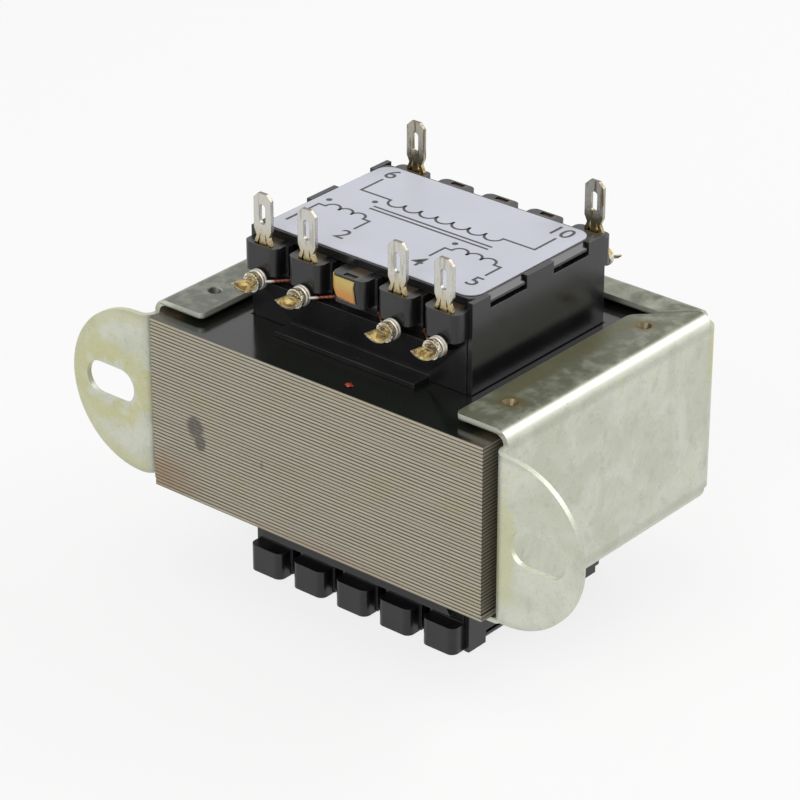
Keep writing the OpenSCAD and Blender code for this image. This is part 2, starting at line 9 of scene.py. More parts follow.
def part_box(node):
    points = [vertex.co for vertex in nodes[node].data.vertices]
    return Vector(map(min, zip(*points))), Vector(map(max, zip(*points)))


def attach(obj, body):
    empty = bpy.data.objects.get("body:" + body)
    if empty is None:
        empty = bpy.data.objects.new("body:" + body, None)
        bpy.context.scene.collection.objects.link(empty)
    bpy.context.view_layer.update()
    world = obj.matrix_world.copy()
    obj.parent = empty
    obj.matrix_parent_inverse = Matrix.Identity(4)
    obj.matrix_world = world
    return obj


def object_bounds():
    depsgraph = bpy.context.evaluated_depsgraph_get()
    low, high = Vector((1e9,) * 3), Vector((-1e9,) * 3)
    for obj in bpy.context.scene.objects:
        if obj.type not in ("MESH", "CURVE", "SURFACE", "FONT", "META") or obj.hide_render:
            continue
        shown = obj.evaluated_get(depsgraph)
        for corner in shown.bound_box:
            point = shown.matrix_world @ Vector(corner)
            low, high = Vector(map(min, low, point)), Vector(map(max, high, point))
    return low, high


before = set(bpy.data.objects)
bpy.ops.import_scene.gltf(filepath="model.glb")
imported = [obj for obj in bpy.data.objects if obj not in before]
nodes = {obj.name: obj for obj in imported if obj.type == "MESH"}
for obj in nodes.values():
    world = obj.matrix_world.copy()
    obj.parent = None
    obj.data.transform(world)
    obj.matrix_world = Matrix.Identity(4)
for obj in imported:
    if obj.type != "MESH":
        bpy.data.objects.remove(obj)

print("transformer: the frame is loaded")

mm = 0.001
scene = bpy.context.scene
scene.view_settings.view_transform = "Standard"
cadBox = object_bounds()


# shader helpers: every length in a material is in millimetres

def newMaterial(name, **settings):
    material = bpy.data.materials.new(name)
    material.use_nodes = True
    tree = material.node_tree
    shader = tree.nodes["Principled BSDF"]
    for socket, value in settings.items():
        shader.inputs[socket.replace("_", " ")].default_value = value
    return material, tree, shader


def put(tree, target, value):
    if isinstance(value, bpy.types.NodeSocket):
        tree.links.new(value, target)
    else:
        target.default_value = value


def calc(tree, operation, first, second=0.0, third=0.0):
    node = tree.nodes.new("ShaderNodeMath")
    node.operation = operation
    for index, value in enumerate((first, second, third)):
        put(tree, node.inputs[index], value)
    return node.outputs[0]


def places(tree):  # the point on the part, and its x, y and z
    coordinate = tree.nodes.new("ShaderNodeTexCoord")
    scaled = tree.nodes.new("ShaderNodeVectorMath")
    scaled.operation = "SCALE"
    scaled.inputs["Scale"].default_value = 1 / mm
    tree.links.new(coordinate.outputs["Object"], scaled.inputs[0])
    split = tree.nodes.new("ShaderNodeSeparateXYZ")
    tree.links.new(scaled.outputs[0], split.inputs[0])
    return scaled.outputs[0], split.outputs[0], split.outputs[1], split.outputs[2]


def facing(tree):  # the face's direction as x, y and z
    geometry = tree.nodes.new("ShaderNodeNewGeometry")
    split = tree.nodes.new("ShaderNodeSeparateXYZ")
    tree.links.new(geometry.outputs["Normal"], split.inputs[0])
    return split.outputs[0], split.outputs[1], split.outputs[2]


def stretched(tree, vector, x=1.0, y=1.0, z=1.0):
    node = tree.nodes.new("ShaderNodeVectorMath")
    node.operation = "MULTIPLY"
    tree.links.new(vector, node.inputs[0])
    node.inputs[1].default_value = (x, y, z)
    return node.outputs[0]


def noise(tree, vector, size, detail=2.0, rough=0.5, bend=0.0):
    node = tree.nodes.new("ShaderNodeTexNoise")
    tree.links.new(vector, node.inputs["Vector"])
    node.inputs["Scale"].default_value = 1 / size
    node.inputs["Detail"].default_value = detail
    node.inputs["Roughness"].default_value = rough
    node.inputs["Distortion"].default_value = bend
    return node.outputs["Fac"]


def step(tree, value, low, high):  # 0 below low, 1 above high, smooth between
    node = tree.nodes.new("ShaderNodeMapRange")
    node.interpolation_type = "SMOOTHSTEP"
    put(tree, node.inputs["Value"], value)
    if low <= high:
        node.inputs["From Min"].default_value = low
        node.inputs["From Max"].default_value = high
    else:
        node.inputs["From Min"].default_value = high
        node.inputs["From Max"].default_value = low
        node.inputs["To Min"].default_value = 1
        node.inputs["To Max"].default_value = 0
    return node.outputs["Result"]


def times(tree, *values):
    total = values[0]
    for value in values[1:]:
        total = calc(tree, "MULTIPLY", total, value)
    return total


def most(tree, *values):
    total = values[0]
    for value in values[1:]:
        total = calc(tree, "MAXIMUM", total, value)
    return total


def between(tree, value, low, high, edge):
    return times(tree, step(tree, value, low - edge, low + edge), step(tree, value, high + edge, high - edge))


def spot(tree, point, centre, size, wobble=None, amount=0.0):  # 0 in the middle, 1 on the ellipse
    offset = tree.nodes.new("ShaderNodeVectorMath")
    offset.operation = "SUBTRACT"
    tree.links.new(point, offset.inputs[0])
    offset.inputs[1].default_value = centre
    shrunk = stretched(tree, offset.outputs[0], *(1 / s for s in size))
    length = tree.nodes.new("ShaderNodeVectorMath")
    length.operation = "LENGTH"
    tree.links.new(shrunk, length.inputs[0])
    distance = length.outputs["Value"]
    if wobble is not None:
        distance = calc(tree, "MULTIPLY_ADD", calc(tree, "SUBTRACT", wobble, 0.5), amount, distance)
    return distance


def mix(tree, factor, first, second, blend="MIX"):
    node = tree.nodes.new("ShaderNodeMix")
    node.data_type = "RGBA"
    node.blend_type = blend
    put(tree, node.inputs[0], factor)
    for name, value in (("A", first), ("B", second)):
        socket = [s for s in node.inputs if s.name == name and s.type == "RGBA"][0]
        put(tree, socket, (*value, 1) if isinstance(value, tuple) else value)
    return [s for s in node.outputs if s.type == "RGBA"][0]


def nearEdge(tree, radius):  # 1 beside a sharp edge, 0 on an even face
    rounded = tree.nodes.new("ShaderNodeBevel")
    rounded.samples = 6
    rounded.inputs["Radius"].default_value = radius * mm
    geometry = tree.nodes.new("ShaderNodeNewGeometry")
    both = tree.nodes.new("ShaderNodeVectorMath")
    both.operation = "DOT_PRODUCT"
    tree.links.new(rounded.outputs[0], both.inputs[0])
    tree.links.new(geometry.outputs["Normal"], both.inputs[1])
    return step(tree, both.outputs["Value"], 0.985, 0.88)


def grey(tree, value):  # a value as a colour
    node = tree.nodes.new("ShaderNodeCombineColor")
    for socket in node.inputs:
        tree.links.new(value, socket)
    return node.outputs[0]


def bump(tree, shader, height, depth, edge=0.0, strength=1.0):
    node = tree.nodes.new("ShaderNodeBump")
    node.inputs["Strength"].default_value = strength
    node.inputs["Distance"].default_value = depth * mm
    tree.links.new(height, node.inputs["Height"])
    if edge:
        rounded = tree.nodes.new("ShaderNodeBevel")
        rounded.samples = 4
        rounded.inputs["Radius"].default_value = edge * mm
        tree.links.new(rounded.outputs[0], node.inputs["Normal"])
    tree.links.new(node.outputs[0], shader.inputs["Normal"])


# core

core = {
    "sheets": 49,
    "edgeColour": (0.475, 0.435, 0.335),
    "gapColour": (0.085, 0.075, 0.052),
    "varnish": (0.0105, 0.0125, 0.0095),
    "brownVarnish": (0.060, 0.048, 0.030),
    "rust": (0.26, 0.125, 0.045),
    "yellowing": (0.46, 0.40, 0.20),
    "smudge": (0.055, 0.048, 0.040),
    "dust": (0.4, 0.4, 0.36),
    "paintedSideShade": (0.03, 0.028, 0.022),
    # stains on the front: x and z of the middle, half width and half height
    "rustCorner": (-25.5, -10.5, 8.0, 5.0),
    "rustFoot": (0, -12.0, 24, 2.2),
    "smudgeUpper": (-19.6, -1.2, 1.55, 1.7),
    "smudgeLower": (-18.8, -3.2, 1.05, 1.3),
    "tick": (-8.3, -2.8, 0.3, 0.75),
    "stainDepth": 9,
}


def makeCoreSteel():
    material, tree, shader = newMaterial("varnishedSheetSteel", Metallic=0.0, Specular_IOR_Level=0.5)
    point, x, y, z = places(tree)
    faceX, faceY, faceZ = facing(tree)
    low, high = (corner.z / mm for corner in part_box("e_laminations"))
    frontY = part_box("e_laminations")[0].y / mm
    pitch = (high - low) / core["sheets"]

    # stripes: pale cut edges with dark varnish between them
    along = stretched(tree, point, 0.12, 0.12, 1)
    waver = noise(tree, along, 1.6, 2)
    height = calc(tree, "DIVIDE", calc(tree, "SUBTRACT", z, low), pitch)
    sheet = calc(tree, "FLOOR", height)
    offMiddle = calc(tree, "ABSOLUTE", calc(tree, "SUBTRACT", calc(tree, "FRACT", height), 0.5))
    sheetNoise = tree.nodes.new("ShaderNodeTexWhiteNoise")
    sheetNoise.noise_dimensions = "1D"
    tree.links.new(sheet, sheetNoise.inputs["W"])
    odd = sheetNoise.outputs["Value"]
    width = calc(tree, "MULTIPLY_ADD", calc(tree, "ADD", odd, waver), -0.085, 0.43)
    gap = step(tree, calc(tree, "SUBTRACT", offMiddle, width), -0.12, 0.07)
    grain = noise(tree, stretched(tree, point, 1, 1, 0.6), 0.16, 3, 0.7)
    broad = noise(tree, stretched(tree, point, 1, 1, 1.5), 7.0, 3)
    tone = calc(tree, "MULTIPLY_ADD", odd, 0.2, calc(tree, "MULTIPLY_ADD", grain, 0.42, 0.64))
    steel = mix(tree, times(tree, 0.45, step(tree, broad, 0.48, 0.8)), core["edgeColour"], core["yellowing"])
    steel = mix(tree, 1.0, steel, grey(tree, tone), "MULTIPLY")
    stripes = mix(tree, gap, steel, core["gapColour"])

    # stains on the front face
    ragged = noise(tree, point, 1.1, 4, 0.65)

    def stain(name, uneven):
        atX, atZ, halfWidth, halfHeight = core[name]
        return spot(tree, point, (atX, frontY, atZ), (halfWidth, core["stainDepth"], halfHeight), ragged, uneven)

    corner = stain("rustCorner", 0.9)
    foot = stain("rustFoot", 1.2)
    rust = most(tree, step(tree, corner, 1.2, -0.1), times(tree, 0.4, step(tree, foot, 1.1, 0.0)))
    stripes = mix(tree, times(tree, 0.55, rust), stripes, core["rust"])
    upper = stain("smudgeUpper", 0.8)
    lower = stain("smudgeLower", 0.8)
    tick = stain("tick", 1.2)
    smudge = most(tree, step(tree, upper, 1.15, 0.65), step(tree, lower, 1.15, 0.65),
                  times(tree, 0.5, step(tree, tick, 1.1, 0.5)))
    smudge = times(tree, smudge, calc(tree, "MULTIPLY_ADD", ragged, 0.7, 0.5))
    stripes = mix(tree, times(tree, 0.85, smudge), stripes, core["smudge"])

    # flat faces carry glossy black varnish, brown where it is thin
    flat = step(tree, calc(tree, "ABSOLUTE", faceZ), 0.55, 0.8)
    thin = step(tree, calc(tree, "MULTIPLY_ADD", broad, 9.0, calc(tree, "ABSOLUTE", x)), 27.5, 31.5)
    varnish = mix(tree, thin, core["varnish"], core["brownVarnish"])
    dust = step(tree, noise(tree, point, 0.22, 1, 0.9), 0.79, 0.83)
    varnish = mix(tree, times(tree, 0.25, dust), varnish, core["dust"])
    # the x-facing sides of the stack are darkened as painted shade
    sides = step(tree, calc(tree, "ABSOLUTE", faceX), 0.6, 0.8)
    stripes = mix(tree, times(tree, 0.55, sides), stripes, core["paintedSideShade"])
    put(tree, shader.inputs["Base Color"], mix(tree, flat, stripes, varnish))

    dull = calc(tree, "MULTIPLY_ADD", grain, 0.2, 0.38)
    glossy = calc(tree, "MULTIPLY_ADD", noise(tree, point, 2.5, 3), 0.16, 0.06)
    shine = calc(tree, "ADD", times(tree, flat, glossy), times(tree, calc(tree, "SUBTRACT", 1, flat), dull))
    put(tree, shader.inputs["Roughness"], shine)
    edgeWays = calc(tree, "SUBTRACT", 1, flat)
    relief = calc(tree, "ADD", times(tree, edgeWays, calc(tree, "SUBTRACT", 1, gap)),
                  times(tree, flat, 0.35, noise(tree, point, 3.2, 2)))
    relief = calc(tree, "ADD", relief, times(tree, 0.25, edgeWays, grain))
    bump(tree, shader, relief, 0.06)
    return material


# plated steel of the clamp

clamp = {
    "zinc": (0.565, 0.585, 0.475),
    "paleZinc": (0.66, 0.675, 0.585),
    "greenGrey": (0.37, 0.39, 0.30),
    "yellow": (0.56, 0.55, 0.27),
    "leftLipFilmAndReflection": (0.098, 0.107, 0.080),
    "rightLipFilmAndReflection": (0.092, 0.100, 0.057),
    "oliveFilm": (0.100, 0.095, 0.032),
    "dropColour": (0.125, 0.080, 0.016),
    "shade": (0.030, 0.030, 0.024),
    "fleck": (0.10, 0.10, 0.075),
    "slotAt": 35.0,
    "slotStain": (8.6, 1, 7.0),
    # middle and half sizes of two more yellow stains on the feet
    "leftRim": ((-30.2, 0, 0), (11.4, 1, 11.4)),
    "rightStain": ((29.8, 0, -1), (2.6, 1, 11)),
    # turn, spacing and seed of each set of scratches
    "scratches": ((0.35, 9.0, 3.1), (-0.8, 13.0, 8.4), (1.25, 11.0, 5.7)),
    "lipUnder": 12.0,     # height where the lips begin, above and below the middle
    "lipMiddle": 12.7,
    "dimples": ((23.95, 8.45), (23.95, 35.45)),
}


def makeZinc():
    material, tree, shader = newMaterial("passivatedZinc", Specular_IOR_Level=0.5)
    point, x, y, z = places(tree)
    faceZ = facing(tree)[2]
    seenFlat = stretched(tree, point, 1, 0, 1)
    height = calc(tree, "ABSOLUTE", z)
    tilt = calc(tree, "ABSOLUTE", faceZ)
    clouds = noise(tree, point, 6.5, 4, 0.6, 0.6)
    patches = noise(tree, point, 2.2, 3, 0.6)
    speckle = noise(tree, stretched(tree, point, 1, 1, 0.55), 0.2, 3, 0.75)
    flecks = step(tree, noise(tree, stretched(tree, point, 1, 1, 0.5), 0.42, 2, 0.8), 0.61, 0.70)

    colour = mix(tree, step(tree, clouds, 0.34, 0.66), clamp["zinc"], clamp["paleZinc"])
    colour = mix(tree, times(tree, 0.30, step(tree, patches, 0.52, 0.72)), colour, clamp["greenGrey"])
    slotRing = spot(tree, seenFlat, (-clamp["slotAt"], 0, 0), clamp["slotStain"], patches, 1.2)
    slotRing = between(tree, slotRing, 0.5, 0.86, 0.16)
    rim = step(tree, spot(tree, seenFlat, *clamp["leftRim"], patches, 0.25), 0.76, 0.93)
    rearCorner = times(tree, step(tree, y, 42.6, 43.8), step(tree, x, 26.5, 27.8),
                       between(tree, z, 4, 12.5, 1.5))
    otherSlot = step(tree, spot(tree, seenFlat, *clamp["rightStain"], patches, 1.4), 0.95, 0.45)
    front = step(tree, y, 1.4, 0.9)
    leftRim = times(tree, 0.5, front, step(tree, x, -28, -30), rim)
    yellowed = most(tree, times(tree, front, 0.75, slotRing), leftRim, times(tree, 0.6, rearCorner),
                    times(tree, 0.5, front, otherSlot), times(tree, 0.3, step(tree, clouds, 0.6, 0.75)))
    colour = mix(tree, yellowed, colour, clamp["yellow"])

    # a pale band painted along the bends of the lips as a highlight, and a duller streak beside it
    bendHighlight = times(tree, step(tree, height, 11.9, 12.3), between(tree, tilt, 0.22, 0.86, 0.12))
    colour = mix(tree, times(tree, 0.75, bendHighlight), colour, clamp["paleZinc"])
    streak = times(tree, between(tree, height, 10.7, 11.9, 0.35), step(tree, tilt, 0.3, 0.1))
    colour = mix(tree, times(tree, 0.30, streak), colour, clamp["greenGrey"])

    # varnish film on the lips, its darkness partly a painted dark reflection; olive on their inner half, golden
    # drops in the dimples, painted shade in the left lip's dimples
    lipFace = step(tree, height, clamp["lipUnder"] + 0.5, clamp["lipUnder"] + 0.9)
    onLip = times(tree, step(tree, tilt, 0.80, 0.97), lipFace)
    film = mix(tree, step(tree, x, -1, 1), clamp["leftLipFilmAndReflection"], clamp["rightLipFilmAndReflection"])
    film = mix(tree, times(tree, 0.5, step(tree, patches, 0.4, 0.7)), film, clamp["greenGrey"])
    colour = mix(tree, times(tree, 0.95, onLip), colour, film)
    stripe = times(tree, onLip, between(tree, x, 20.4, 23.4, 0.6), between(tree, y, 9, 36, 2),
                   step(tree, patches, 0.30, 0.52))
    colour = mix(tree, times(tree, 0.8, stripe), colour, clamp["oliveFilm"])
    rearPale = times(tree, onLip, step(tree, y, 39.5, 40.2), step(tree, clouds, 0.40, 0.6))
    colour = mix(tree, times(tree, 0.35, rearPale), colour, clamp["zinc"])
    golden = 0.0
    shaded = 0.0
    fromAbove = stretched(tree, point, 1, 1, 0)
    for dimpleX, dimpleY in clamp["dimples"]:
        around = spot(tree, fromAbove, (dimpleX, dimpleY, 0), (3.1, 2.6, 1), patches, 1.1)
        colour = mix(tree, times(tree, 0.6, onLip, step(tree, around, 1.0, 0.5)), colour, clamp["oliveFilm"])
        drop = spot(tree, fromAbove, (dimpleX, dimpleY, 0), (1.7, 1.5, 1), patches, 0.7)
        golden = most(tree, golden, step(tree, drop, 1.0, 0.6))
        hole = spot(tree, fromAbove, (-dimpleX - 0.15, dimpleY, 0), (1.05, 1.05, 1))
        shaded = most(tree, shaded, step(tree, hole, 1.05, 0.75))
    above = step(tree, z, 10.5, 11.5)
    colour = mix(tree, times(tree, 0.9, golden, above), colour, clamp["dropColour"])
    colour = mix(tree, times(tree, 0.9, shaded, above), colour, clamp["shade"])

    # bare cut edges of the lips, with the darker line that shearing leaves
    upright = step(tree, tilt, 0.35, 0.15)
    inLip = step(tree, height, clamp["lipUnder"], clamp["lipUnder"] + 0.1)
    inside = times(tree, step(tree, calc(tree, "ABSOLUTE", x), 27.9, 27.6), step(tree, y, 44.2, 43.9))
    cut = times(tree, upright, inLip, inside)
    sheared = between(tree, height, clamp["lipMiddle"] - 0.10, clamp["lipMiddle"] + 0.14, 0.05)
    colour = mix(tree, cut, colour, mix(tree, sheared, clamp["paleZinc"], clamp["greenGrey"]))

    colour = mix(tree, times(tree, 0.20, flecks), colour, clamp["fleck"])
    tone = calc(tree, "MULTIPLY_ADD", speckle, 0.34, 0.82)
    put(tree, shader.inputs["Base Color"], mix(tree, 1.0, colour, grey(tree, tone), "MULTIPLY"))

    filmed = most(tree, golden, onLip)
    put(tree, shader.inputs["Metallic"], calc(tree, "MULTIPLY_ADD", onLip, -0.30, 0.55))
    rough = calc(tree, "MULTIPLY_ADD", speckle, 0.22, calc(tree, "MULTIPLY_ADD", clouds, 0.12, 0.26))
    put(tree, shader.inputs["Roughness"], calc(tree, "MULTIPLY_ADD", filmed, -0.08, rough))

    scratches = 0.0
    for spin, spacing, seed in clamp["scratches"]:
        turned = tree.nodes.new("ShaderNodeVectorRotate")
        turned.rotation_type = "Y_AXIS"
        tree.links.new(point, turned.inputs["Vector"])
        turned.inputs["Angle"].default_value = spin
        drawnOut = stretched(tree, turned.outputs[0], 4.0 / spacing, 0.05, 0.02)
        lines = noise(tree, drawnOut, 0.25 + seed * 0.02, 1, 0.3)
        scratches = most(tree, scratches, between(tree, lines, 0.69, 0.705, 0.006))
    grainy = calc(tree, "ADD", speckle, times(tree, 0.8, patches))
    relief = calc(tree, "MULTIPLY_ADD", scratches, -0.5, grainy)
    bump(tree, shader, relief, 0.018, edge=0.09)
    return material


# moulded plastic

plastic = {
    "black": (0.0115, 0.0115, 0.0125),
    "faded": (0.024, 0.024, 0.024),
    "dust": (0.30, 0.30, 0.28),
    "recess": (0.115, 0.115, 0.110),
    "burnt": (0.085, 0.060, 0.032),
    "pillarStep": 7.25,
    "tagOffset": 0.3,
}


def makePlastic(name, roughness, edge, pillars=False):
    material, tree, shader = newMaterial(name, Specular_IOR_Level=0.5, IOR=1.5)
    point, x, y, z = places(tree)
    haze = noise(tree, point, 3.4, 3, 0.6)
    fine = noise(tree, point, 0.12, 2, 0.7)
    specks = step(tree, noise(tree, point, 0.20, 1, 0.9), 0.80, 0.84)
    scuffs = step(tree, noise(tree, stretched(tree, point, 0.25, 0.25, 1.5), 0.5, 3, 0.7), 0.70, 0.80)
    colour = mix(tree, times(tree, 0.45, step(tree, haze, 0.42, 0.75)), plastic["black"], plastic["faded"])
    soiled = most(tree, times(tree, 0.30, specks), times(tree, 0.035, scuffs))
    colour = mix(tree, soiled, colour, plastic["dust"])
    # edges are painted a lighter grey in patches as a highlight
    wearAndSheen = nearEdge(tree, 0.22)
    colour = mix(tree, times(tree, 0.28, wearAndSheen, step(tree, haze, 0.35, 0.6)), colour, plastic["recess"])
    if pillars:  # lighter grey floors in the recesses of the pillars' tops, and flux round the feet of the tags
        faceZ = facing(tree)[2]
        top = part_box("coil_former")[1].z / mm
        upward = step(tree, faceZ, 0.8, 0.95)
        sunk = times(tree, upward, between(tree, z, top - 0.4, top - 0.2, 0.05))
        colour = mix(tree, sunk, colour, plastic["recess"])
        place = calc(tree, "FRACT", calc(tree, "MULTIPLY_ADD", x, 1 / plastic["pillarStep"],
                                         20.5 - plastic["tagOffset"] / plastic["pillarStep"]))
        away = times(tree, plastic["pillarStep"], calc(tree, "ABSOLUTE", calc(tree, "SUBTRACT", place, 0.5)))
        away = calc(tree, "MULTIPLY_ADD", noise(tree, point, 0.6, 3, 0.7), 1.6, away)
        flux = times(tree, upward, step(tree, z, top - 0.15, top - 0.05), step(tree, away, 2.3, 1.7))
        colour = mix(tree, times(tree, 0.8, flux), colour, plastic["burnt"])
    put(tree, shader.inputs["Base Color"], colour)
    uneven = calc(tree, "MULTIPLY_ADD", haze, 0.14, calc(tree, "MULTIPLY_ADD", scuffs, 0.15, roughness))
    put(tree, shader.inputs["Roughness"], uneven)
    bump(tree, shader, calc(tree, "MULTIPLY_ADD", haze, 2.2, fine), 0.006, edge=edge)
    return material


# windings and tape

winding = {
    "enamel": (0.34, 0.075, 0.022),
    "deepEnamel": (0.24, 0.045, 0.018),
    "shadedGroove": (0.04, 0.01, 0.006),
    "frontEnd": (6.7, 6.2),      # y where the enamel ends and the tinned wire begins
    "rearEnd": (37.2, 37.7),
    "tinned": (0.62, 0.58, 0.50),
    "wireWidth": 0.4,
}


def makeEnamel(name, wireWidth):
    material, tree, shader = newMaterial(name, Metallic=0.6, Coat_Weight=0.6, Coat_Roughness=0.12)
    point, x, y, z = places(tree)
    along = calc(tree, "FRACT", calc(tree, "DIVIDE", y, wireWidth))
    turn = calc(tree, "ABSOLUTE", calc(tree, "SUBTRACT", along, 0.5))
    shadedGroove = step(tree, turn, 0.25, 0.5)
    uneven = noise(tree, point, 1.3, 3)
    colour = mix(tree, step(tree, uneven, 0.35, 0.7), winding["enamel"], winding["deepEnamel"])
    atTag = most(tree, step(tree, y, *winding["frontEnd"]), step(tree, y, *winding["rearEnd"]))
    colour = mix(tree, atTag, colour, winding["tinned"])
    inside = calc(tree, "SUBTRACT", 1, atTag)
    # the grooves between turns are darkened as painted shade
    colour = mix(tree, times(tree, 0.7, shadedGroove, inside), colour, winding["shadedGroove"])
    put(tree, shader.inputs["Base Color"], colour)
    put(tree, shader.inputs["Roughness"], calc(tree, "MULTIPLY_ADD", uneven, 0.2, 0.22))
    bump(tree, shader, times(tree, inside, calc(tree, "SUBTRACT", 1, shadedGroove)), 0.05)
    return material


tape = {
    "amber": (0.56, 0.235, 0.030),
    "deep": (0.12, 0.045, 0.010),
    "pale": (0.56, 0.42, 0.11),
}


def makeTape():
    material, tree, shader = newMaterial("amberTape", Roughness=0.22, Coat_Weight=0.3, Coat_Roughness=0.1)
    point, x, y, z = places(tree)
    near, far = (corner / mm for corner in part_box("tape_patch"))
    waves = noise(tree, stretched(tree, point, 1, 1, 0.5), 1.2, 3, 0.6)
    down = step(tree, calc(tree, "MULTIPLY_ADD", waves, 1.5, z), far.z + 0.5, near.z + 1.2)
    colour = mix(tree, down, tape["pale"], tape["amber"])
    right = step(tree, calc(tree, "MULTIPLY_ADD", waves, 0.9, x), far.x - 0.15, far.x + 0.35)
    under = step(tree, calc(tree, "MULTIPLY_ADD", waves, -0.9, z), near.z - 0.05, near.z - 0.4)
    colour = mix(tree, times(tree, 0.9, most(tree, right, under)), colour, tape["deep"])
    put(tree, shader.inputs["Base Color"], colour)
    bump(tree, shader, calc(tree, "MULTIPLY_ADD", waves, 2.0, noise(tree, point, 0.15, 2)), 0.03, edge=0.05)
    return material


# label

label = {
    "film": (0.605, 0.615, 0.690),
    "ink": (0.022, 0.026, 0.024),
    "digitHeight": 2.5,
    "frontRow": 2.6,      # the front row of numbers, from the label's front edge
    "rearRow": 20.6,
    # x of each number, with 0 for the front row and 1 for the rear row
    "numbers": {"1": (-15.4, 0), "2": (-7.0, 0), "4": (5.2, 0), "5": (14.0, 0),
                "6": (-14.1, 1), "10": (13.4, 1)},
    "strokeWidth": 0.36,
    "primaryLine": 15.4,
    "coreLines": (12.7, 11.9),
    "secondaryLine": 9.0,
    "primaryEnds": (-9.1, 9.1),
    "primaryLoops": 7,
    "secondaryLoops": 3,
    "coreReach": 9.6,
    "leadIn": 1.1,        # from a number to its first loop
    "leadGap": 0.7,       # from a number to the end of its lead
    "dotRadius": 0.42,
    "dotCorners": 20,
    "loopFoot": 0.15,     # the short straight end of each loop
}


def makeLabelFilm():
    material, tree, shader = newMaterial("labelFilm", Roughness=0.42, Sheen_Weight=0.05)
    point = places(tree)[0]
    broad = noise(tree, point, 9.0, 2)
    fine = noise(tree, point, 0.25, 2, 0.7)
    colour = mix(tree, step(tree, broad, 0.3, 0.7), label["film"], tuple(0.965 * c for c in label["film"]))
    marks = step(tree, noise(tree, point, 0.5, 2, 0.8), 0.74, 0.80)
    put(tree, shader.inputs["Base Color"], mix(tree, times(tree, 0.16, marks), colour, (0.35, 0.35, 0.36)))
    put(tree, shader.inputs["Roughness"], calc(tree, "MULTIPLY_ADD", broad, 0.14, 0.34))
    bump(tree, shader, calc(tree, "MULTIPLY_ADD", broad, 1.6, fine), 0.006, edge=0.06)
    return material


def makeInk():
    material, tree, shader = newMaterial("printedInk", Roughness=0.38)
    point = places(tree)[0]
    wearAndSheen = step(tree, noise(tree, point, 0.35, 3, 0.8), 0.68, 0.78)
    put(tree, shader.inputs["Base Color"], mix(tree, times(tree, 0.45, wearAndSheen), label["ink"], label["film"]))
    bump(tree, shader, noise(tree, point, 0.1, 2), 0.003)
    return material


# tags and solder

tags = {
    "frontTin": (0.60, 0.595, 0.545),
    "rearTin": (0.40, 0.39, 0.335),
    "gold": (0.46, 0.35, 0.13),
    "flux": (0.115, 0.065, 0.018),
    "rim": (0.82, 0.79, 0.66),
    "neck": 2.6,          # height of the golden neck above its pillar
    "scoopTop": 19.4,     # the trough lies below this height
}


def makeTinned(name, tin, brown):
    material, tree, shader = newMaterial(name, Metallic=0.92)
    point, x, y, z = places(tree)
    faceZ = facing(tree)[2]
    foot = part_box("coil_former")[1].z / mm
    clouds = noise(tree, point, 0.9, 3, 0.6, 0.5)
    fine = noise(tree, stretched(tree, point, 1, 1, 0.35), 0.16, 3, 0.7)
    edges = nearEdge(tree, 0.11)
    rise = calc(tree, "MULTIPLY_ADD", clouds, 1.9, z)
    neck = step(tree, rise, foot + tags["neck"] + 1.3, foot + 0.9)
    colour = mix(tree, times(tree, 0.85, neck), tin, tags["gold"])
    spots = times(tree, neck, step(tree, noise(tree, point, 0.5, 3, 0.7), 0.54, 0.66))
    drips = noise(tree, stretched(tree, point, 1, 1, 0.12), 0.45, 2)
    streak = times(tree, step(tree, z, foot + 1.5, foot + 2.5), step(tree, drips, 0.52, 0.64))
    colour = mix(tree, times(tree, brown, most(tree, spots, streak)), colour, tags["flux"])
    blade = step(tree, z, foot + 1.0, foot + 1.6)
    # the blade's edges are darkened in the flux colour, and its upward faces carry painted shade in that colour
    colour = mix(tree, times(tree, 0.45, blade, edges), colour, tags["flux"])
    colour = mix(tree, times(tree, 0.7, blade, step(tree, faceZ, 0.5, 0.8)), colour, tags["flux"])
    scoop = step(tree, z, tags["scoopTop"], tags["scoopTop"] - 0.2)
    inside = mix(tree, step(tree, clouds, 0.42, 0.60), tags["gold"], tags["flux"])
    # the bright rims round the trough are a painted highlight
    inside = mix(tree, times(tree, 0.8, edges), inside, tags["rim"])
    colour = mix(tree, times(tree, 0.9, scoop), colour, inside)
    tone = calc(tree, "MULTIPLY_ADD", fine, 0.35, 0.82)
    put(tree, shader.inputs["Base Color"], mix(tree, 1.0, colour, grey(tree, tone), "MULTIPLY"))
    put(tree, shader.inputs["Roughness"], calc(tree, "MULTIPLY_ADD", clouds, 0.22, 0.18))
    bump(tree, shader, calc(tree, "MULTIPLY_ADD", clouds, 1.6, fine), 0.035, edge=0.07)
    return material


solder = {"bright": (0.74, 0.71, 0.60), "flux": (0.36, 0.25, 0.07), "dark": (0.08, 0.055, 0.025)}


def makeSolder():
    material, tree, shader = newMaterial("solder", Metallic=0.9)
    point = places(tree)[0]
    faceZ = facing(tree)[2]
    lumps = noise(tree, point, 0.75, 3, 0.55, 0.4)
    fine = noise(tree, point, 0.2, 2, 0.6)
    pooled = times(tree, step(tree, faceZ, 0.1, 0.7), step(tree, lumps, 0.36, 0.56))
    colour = mix(tree, pooled, solder["bright"], solder["flux"])
    colour = mix(tree, times(tree, 0.6, step(tree, fine, 0.63, 0.72)), colour, solder["dark"])
    put(tree, shader.inputs["Base Color"], colour)
    put(tree, shader.inputs["Roughness"], calc(tree, "MULTIPLY_ADD", lumps, 0.22, 0.08))
    bump(tree, shader, calc(tree, "MULTIPLY_ADD", lumps, 3.0, fine), 0.11)
    return material


def dress(material, *names):
    for name in names:
        mesh = nodes[name].data
        mesh.materials.clear()
        mesh.materials.append(material)


